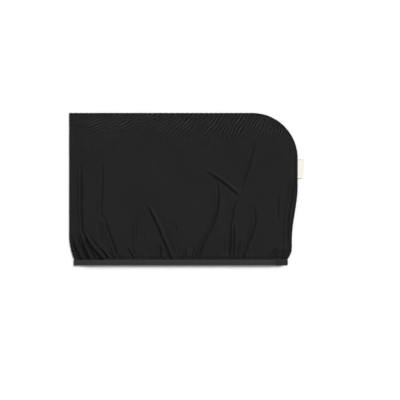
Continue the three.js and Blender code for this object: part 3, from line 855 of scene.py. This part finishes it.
def make_label(material):
    """A folded strip, both ends caught in the seam."""
    tip_z = label_half + LAYER_GAP
    out_count, along_count = LABEL_STATIONS
    out = np.linspace(-label_tuck, LABEL_REACH - label_half, out_count)
    middle = label_root_z + (tip_z - label_root_z) * smoothstep(out, 0, LABEL_REACH)
    angle = math.pi / 2 - np.linspace(0, math.pi, LABEL_FOLD_STATIONS)[1:-1]
    out_all = np.concatenate([out, out[-1] + leaf_offset * np.cos(angle), out[::-1]])
    tip_round = middle[-1] + leaf_offset * np.sin(angle)
    z_all = np.concatenate([middle + leaf_offset, tip_round, middle[::-1] - leaf_offset])
    along = np.linspace(LABEL_LENGTH / 2, -LABEL_LENGTH / 2, along_count)
    root_x, root_y = right_x(np.float64(LABEL_CENTRE)), hem_y + LABEL_CENTRE
    reach, place = np.meshgrid(out_all, along, indexing="ij")
    free = smoothstep(reach, 1, LABEL_REACH)
    curl = LABEL_CURL * free * (0.5 + 0.5 * waves(place, reach, 60, 81))
    x = root_x + reach * math.cos(LABEL_TILT) + place * math.sin(LABEL_TILT)
    y = root_y - reach * math.sin(LABEL_TILT) + place * math.cos(LABEL_TILT)
    z = z_all[:, None] + curl
    points, faces = thicken(np.stack([x, y, z], axis=-1), LABEL_THICKNESS)
    return make_object("side_label_woven", points, faces, material)


# Materials


def new_material(name):
    material = bpy.data.materials.new(name)
    material.use_nodes = True
    nodes, links = material.node_tree.nodes, material.node_tree.links
    shader = nodes["Principled BSDF"]

    def add(kind, inputs=(), **settings):
        node = nodes.new(kind)
        for key, value in settings.items():
            setattr(node, key, value)
        for socket, value in inputs:
            if isinstance(value, bpy.types.NodeSocket):
                links.new(value, node.inputs[socket])
            else:
                node.inputs[socket].default_value = value
        return node

    return material, shader, add, links


def add_math(add, operation, *values):
    return add("ShaderNodeMath", list(enumerate(values)), operation=operation).outputs[0]


def add_sum(add, first, *others):
    for value in others:
        first = add_math(add, "ADD", first, value)
    return first


def add_product(add, a, b):
    return add_math(add, "MULTIPLY", a, b)


def add_dot(add, vector, direction):
    node = add("ShaderNodeVectorMath", [(0, vector), (1, direction)], operation="DOT_PRODUCT")
    return node.outputs["Value"]


def add_noise(add, place, scale, detail):
    """Clouds of this many per metre, as a node."""
    return add("ShaderNodeTexNoise", [("Vector", place), ("Scale", scale), ("Detail", detail)])


def add_range(add, value, start, end, first=0.0, last=1.0, **settings):
    """A value that goes from first to last while the input goes from start to end, and no further."""
    span = [("From Min", start), ("From Max", end), ("To Min", first), ("To Max", last)]
    return add("ShaderNodeMapRange", [("Value", value), *span], **settings).outputs[0]


def add_colour(add, share, dark, light):
    """A colour between a dark and a light one."""
    ends = [(6, (*dark, 1)), (7, (*light, 1))]
    return add("ShaderNodeMix", [(0, share), *ends], data_type="RGBA").outputs[2]


def add_gain(add, colour, gain):
    """A colour made lighter or darker."""
    return add("ShaderNodeVectorMath", [(0, colour), ("Scale", gain)], operation="SCALE").outputs[0]


def add_bump(add, links, shader, height, strength, distance):
    node = add("ShaderNodeBump", [("Height", height), ("Strength", strength), ("Distance", distance)])
    links.new(node.outputs["Normal"], shader.inputs["Normal"])


def painted_moire_field(add, place):
    """Painted moiré: fine slanting light and dark bands in the yarn's colour, between -1 and 1, standing in
    for the floor's light seen through the holes of both layers.

    They run near the left and top seams, and fan from level on the left to upright on the right.
    """
    axes = add("ShaderNodeSeparateXYZ", [(0, place)])
    x, y = axes.outputs["X"], axes.outputs["Y"]
    bend = add_product(add, add_product(add, x, x), 0.45)
    fan = add_product(add, add_product(add, x, y), 1.1)
    slant = add_dot(add, place, (0.45, -0.7, 0))
    turns = add_product(add, add_sum(add, slant, bend, fan), 2 * math.pi / (MOIRE_PITCH * MM))
    drift = add_product(add, add_noise(add, place, 20.0, 1.0).outputs[0], 11.0)
    wave = add_product(add, add_math(add, "SINE", add_sum(add, turns, drift)), 2.5)
    wave = add_math(add, "MAXIMUM", add_math(add, "MINIMUM", wave, 1.0), -1.0)
    top = add_range(add, y, *(edge * MM for edge in MOIRE_BAND_TOP))
    left = add_range(add, x, *(edge * MM for edge in MOIRE_BAND_LEFT))
    near = add_math(add, "MAXIMUM", top, add_product(add, left, 0.5))
    strength = add_range(add, add_noise(add, place, 30.0, 1.0).outputs[0], 0.36, 0.56)
    return add_product(add, wave, add_product(add, near, strength))


def knit_material(name, hole_pitch, turn, shift, painted_moire_strength, colour):
    """Stretch mesh: small holes in rows, with real gaps between its yarns."""
    material, shader, add, links = new_material(name)
    place = add("ShaderNodeTexCoord").outputs["Object"]
    placed = add("ShaderNodeVectorMath", [(0, place), (1, (*shift, 0))], operation="ADD").outputs[0]
    drift = add_noise(add, placed, 9.0, 1.0).outputs["Color"]
    centred = add("ShaderNodeVectorMath", [(0, drift), (1, (0.5, 0.5, 0.5))], operation="SUBTRACT")
    scaled = add("ShaderNodeVectorMath", [(0, centred.outputs[0]), ("Scale", 0.0025)], operation="SCALE")
    moved = add("ShaderNodeVectorMath", [(0, placed), (1, scaled.outputs[0])], operation="ADD").outputs[0]
    step = 4 * math.pi / (math.sqrt(3) * hole_pitch * MM)
    rows = []
    for degrees, weight in ((0, 1.5), (60, 0.75), (120, 0.75)):
        angle = math.radians(degrees + turn)
        along = add_dot(add, moved, (step * math.cos(angle), step * math.sin(angle), 0))
        rows.append(add_product(add, add_math(add, "COSINE", along), weight))
    openness = add_sum(add, *rows)
    hole = add_range(add, openness, 1.0, 1.7, interpolation_type="SMOOTHSTEP")
    links.new(add_math(add, "SUBTRACT", 1.0, hole), shader.inputs["Alpha"])

    patches = add_noise(add, place, 9.0, 3.0).outputs[0]
    fibres = add_noise(add, place, 2600.0, 2.0).outputs[0]
    shade = add_range(add, add_sum(add, patches, add_product(add, fibres, 0.6)), 0.4, 1.2)
    dark, light = ([channel * factor for channel in colour] for factor in (0.82, 1.18))
    # Painted moiré: the yarn's colour is made lighter and darker in bands, standing in for floor light seen
    # through both layers' holes.
    gain = add_sum(add, add_product(add, painted_moire_field(add, place), painted_moire_strength), 1.0)
    gain = add_math(add, "MAXIMUM", gain, 0.1)
    links.new(add_gain(add, add_colour(add, shade, dark, light), gain), shader.inputs["Base Color"])
    yarn = add_sum(add, add_product(add, openness, -0.3), fibres)
    add_bump(add, links, shader, yarn, 0.5, 0.00012)
    shader.inputs["Roughness"].default_value = 0.78
    shader.inputs["Specular IOR Level"].default_value = 0.1
    shader.inputs["Sheen Weight"].default_value = 0.03
    shader.inputs["Sheen Roughness"].default_value = 0.4
    return material


def elastic_material():
    """Fold-over elastic: fine ribs along it, crossed by the knit's rows. Its lapped end is darker, a painted
    shade, and a strip along its lower fold is lighter, a painted highlight.
    """
    material, shader, add, links = new_material("elastic")
    place = add("ShaderNodeTexCoord").outputs["Object"]
    ribs = add_math(add, "SINE", add_dot(add, place, (0, 2 * math.pi / (RIB_PITCH * MM), 0)))
    rows = add_math(add, "SINE", add_dot(add, place, (2 * math.pi / (RIB_ROW_PITCH * MM), 0, 0)))
    fibres = add_noise(add, place, 1800.0, 2.0).outputs[0]
    patches = add_noise(add, place, 30.0, 3.0).outputs[0]
    knit = add_sum(add, add_product(add, ribs, 0.5), add_product(add, rows, 0.22))
    texture = add_sum(add, knit, add_product(add, fibres, 0.7))
    shade = add_range(add, add_sum(add, texture, add_product(add, patches, 1.6)), 0.2, 2.2)
    mixed = add_colour(add, shade, (0.0127, 0.0127, 0.0129), (0.0208, 0.0208, 0.0211))
    axes = add("ShaderNodeSeparateXYZ", [(0, place)])
    along, up = axes.outputs["X"], axes.outputs["Y"]
    # Painted highlight: the colour is 12 % lighter along the lower fold, fading out over this run up from the
    # hem.
    folded = add_range(add, up, hem_y * MM, (hem_y + FOLD_LIGHT_RUN) * MM, 1.12, 1.0)
    lap_end = binding_right - LAP_OUTER
    # Painted shade: the colour darkens to about a third over this run towards the lapped end.
    lapped = add_range(add, along, (lap_end - LAP_SHADE_RUN) * MM, lap_end * MM, 1.0, 0.35)
    links.new(add_gain(add, mixed, add_product(add, folded, lapped)), shader.inputs["Base Color"])
    add_bump(add, links, shader, texture, 0.55, 0.0002)
    shader.inputs["Roughness"].default_value = 0.62
    shader.inputs["Specular IOR Level"].default_value = 0.2
    shader.inputs["Sheen Weight"].default_value = 0.04
    shader.inputs["Sheen Roughness"].default_value = 0.4
    return material


def thread_material():
    """Twisted thread."""
    material, shader, add, links = new_material("thread")
    place = add("ShaderNodeTexCoord").outputs["Object"]
    twist = add_math(add, "SINE", add_dot(add, place, (9000, 7000, 4000)))
    fibres = add_noise(add, place, 3000.0, 2.0).outputs[0]
    texture = add_sum(add, add_product(add, twist, 0.4), fibres)
    shade = add_range(add, texture, 0.0, 1.2)
    mixed = add_colour(add, shade, (0.012, 0.012, 0.013), (0.022, 0.022, 0.023))
    links.new(mixed, shader.inputs["Base Color"])
    add_bump(add, links, shader, texture, 0.5, 0.00008)
    shader.inputs["Roughness"].default_value = 0.6
    shader.inputs["Specular IOR Level"].default_value = 0.35
    return material


def woven_material():
    """Cream satin ribbon with a fine weave."""
    material, shader, add, links = new_material("woven_label")
    place = add("ShaderNodeTexCoord").outputs["Object"]
    lean, straight = math.sin(LABEL_TILT), math.cos(LABEL_TILT)
    step = 2 * math.pi / (WEAVE_PITCH * MM)
    warp = add_math(add, "SINE", add_dot(add, place, (step * straight, -step * lean, 0)))
    weft = add_math(add, "SINE", add_dot(add, place, (0.6 * step * lean, 0.6 * step * straight, 0)))
    weave = add_product(add, warp, weft)
    soft = add_noise(add, place, 60.0, 3.0).outputs[0]
    shade = add_range(add, add_sum(add, soft, add_product(add, weave, 0.25)), 0.1, 0.9)
    mixed = add_colour(add, shade, (0.84, 0.775, 0.69), (0.93, 0.875, 0.795))
    links.new(mixed, shader.inputs["Base Color"])
    add_bump(add, links, shader, weave, 0.35, 0.00005)
    shader.inputs["Roughness"].default_value = 0.55
    shader.inputs["Specular IOR Level"].default_value = 0.3
    shader.inputs["Sheen Weight"].default_value = 0.05
    return material


def floor_material():
    material, shader, _, _ = new_material("floor")
    shader.inputs["Base Color"].default_value = (0.98, 0.98, 0.98, 1)
    shader.inputs["Roughness"].default_value = 1.0
    shader.inputs["Specular IOR Level"].default_value = 0.0
    return material


# Stage, light and camera


def make_floor():
    points = [(x * FLOOR_HALF, y * FLOOR_HALF, FLOOR_LEVEL) for x, y in ((-1, -1), (1, -1), (1, 1), (-1, 1))]
    floor = make_object("floor", points, [[0, 1, 2, 3]], floor_material())


def make_world(strength):
    """A plain white sky that looks white, and lights the part at this strength."""
    world = bpy.data.worlds.new("studio")
    bpy.context.scene.world = world
    world.use_nodes = True
    nodes, links = world.node_tree.nodes, world.node_tree.links
    background = nodes["Background"]
    background.inputs["Color"].default_value = (1, 1, 1, 1)
    path = nodes.new("ShaderNodeLightPath")
    seen = nodes.new("ShaderNodeMath")
    seen.operation = "MAXIMUM"
    links.new(path.outputs["Is Camera Ray"], seen.inputs[0])
    links.new(path.outputs["Is Glossy Ray"], seen.inputs[1])
    level = nodes.new("ShaderNodeMapRange")
    links.new(seen.outputs[0], level.inputs["Value"])
    level.inputs["To Min"].default_value = strength
    level.inputs["To Max"].default_value = 1.0
    links.new(level.outputs[0], background.inputs["Strength"])


def make_sun(name, strength, angle, tilt, heading):
    """A broad lamp. tilt is measured from straight down, and heading is where its light comes from."""
    lamp = bpy.data.lights.new(name, "SUN")
    lamp.energy = strength
    lamp.angle = math.radians(angle)
    sun = bpy.data.objects.new(name, lamp)
    bpy.context.scene.collection.objects.link(sun)
    sun.rotation_euler = (0, math.radians(tilt), math.radians(heading))


def make_camera():
    """Straight above the floor, beside the sleeve's middle, with the frame wider than the sleeve."""
    data = bpy.data.cameras.new("camera")
    data.sensor_width = SENSOR_WIDTH
    data.lens = SENSOR_WIDTH * CAMERA_Z / FRAME_WIDTH
    camera = bpy.data.objects.new("camera", data)
    camera.location = [value * MM for value in (*CAMERA_PLACE, CAMERA_Z)]
    bpy.context.scene.collection.objects.link(camera)
    bpy.context.scene.camera = camera


# Assembly


def row_heights(*steps):
    """Heights of a panel's rows. Each step gives the height that it goes up to and the rows' spacing."""
    heights = [panel_foot, 6.0, 12.0, seam_foot]
    for stop, spacing in steps:
        count = max(1, round((stop - heights[-1]) / spacing))
        heights += list(np.linspace(heights[-1], stop, count + 1)[1:])
    return np.array(heights)


def main():
    bpy.context.scene.view_settings.view_transform = "Standard"
    make_world(strength=0.36)
    make_sun("key", strength=3.05, angle=34, tilt=46, heading=55)
    make_camera()
    make_floor()

    yarn = (0.0134, 0.0134, 0.0135)
    # The front panel's colour carries the painted moiré, and the back panel's has none.
    front_mesh = knit_material("mesh_front", HOLE_PITCH_FRONT, 0, (0, 0), painted_moire_strength=1.3, colour=yarn)
    back_mesh = knit_material("mesh_back", HOLE_PITCH_BACK, -9, (0.3, 0.7), painted_moire_strength=0.0, colour=yarn)
    elastic, thread, woven = elastic_material(), thread_material(), woven_material()

    front_rows = row_heights((60, 1.6), (120, 2.2), (300, 3.0), (SLEEVE_HEIGHT, 4.2))
    front = make_panel(
        "front_panel_cloth", front_rows, FRONT_COLUMNS, front_level, end_rise, front_rim_z, -1, front_mesh
    )
    back_rows = row_heights((60, 4), (SLEEVE_HEIGHT, 8))
    back = make_panel(
        "back_panel_cloth", back_rows, BACK_COLUMNS, back_level, np.zeros_like, back_turn_z, 1, back_mesh
    )
    overlock = make_overlock(thread)
    binding = make_binding(elastic)
    stitching = make_stitches(thread)
    label = make_label(woven)

    replaced = [
        (front, "front_panel", "mesh"),
        (back, "back_panel", "mesh"),
        (overlock, "seam_overlock", "thread"),
        (binding, "hem_binding", "elastic"),
        (label, "side_label", "label"),
    ]
    for piece, node, slot in replaced:
        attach(piece, "root")
        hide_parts(node)
    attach(stitching, "root")


main()
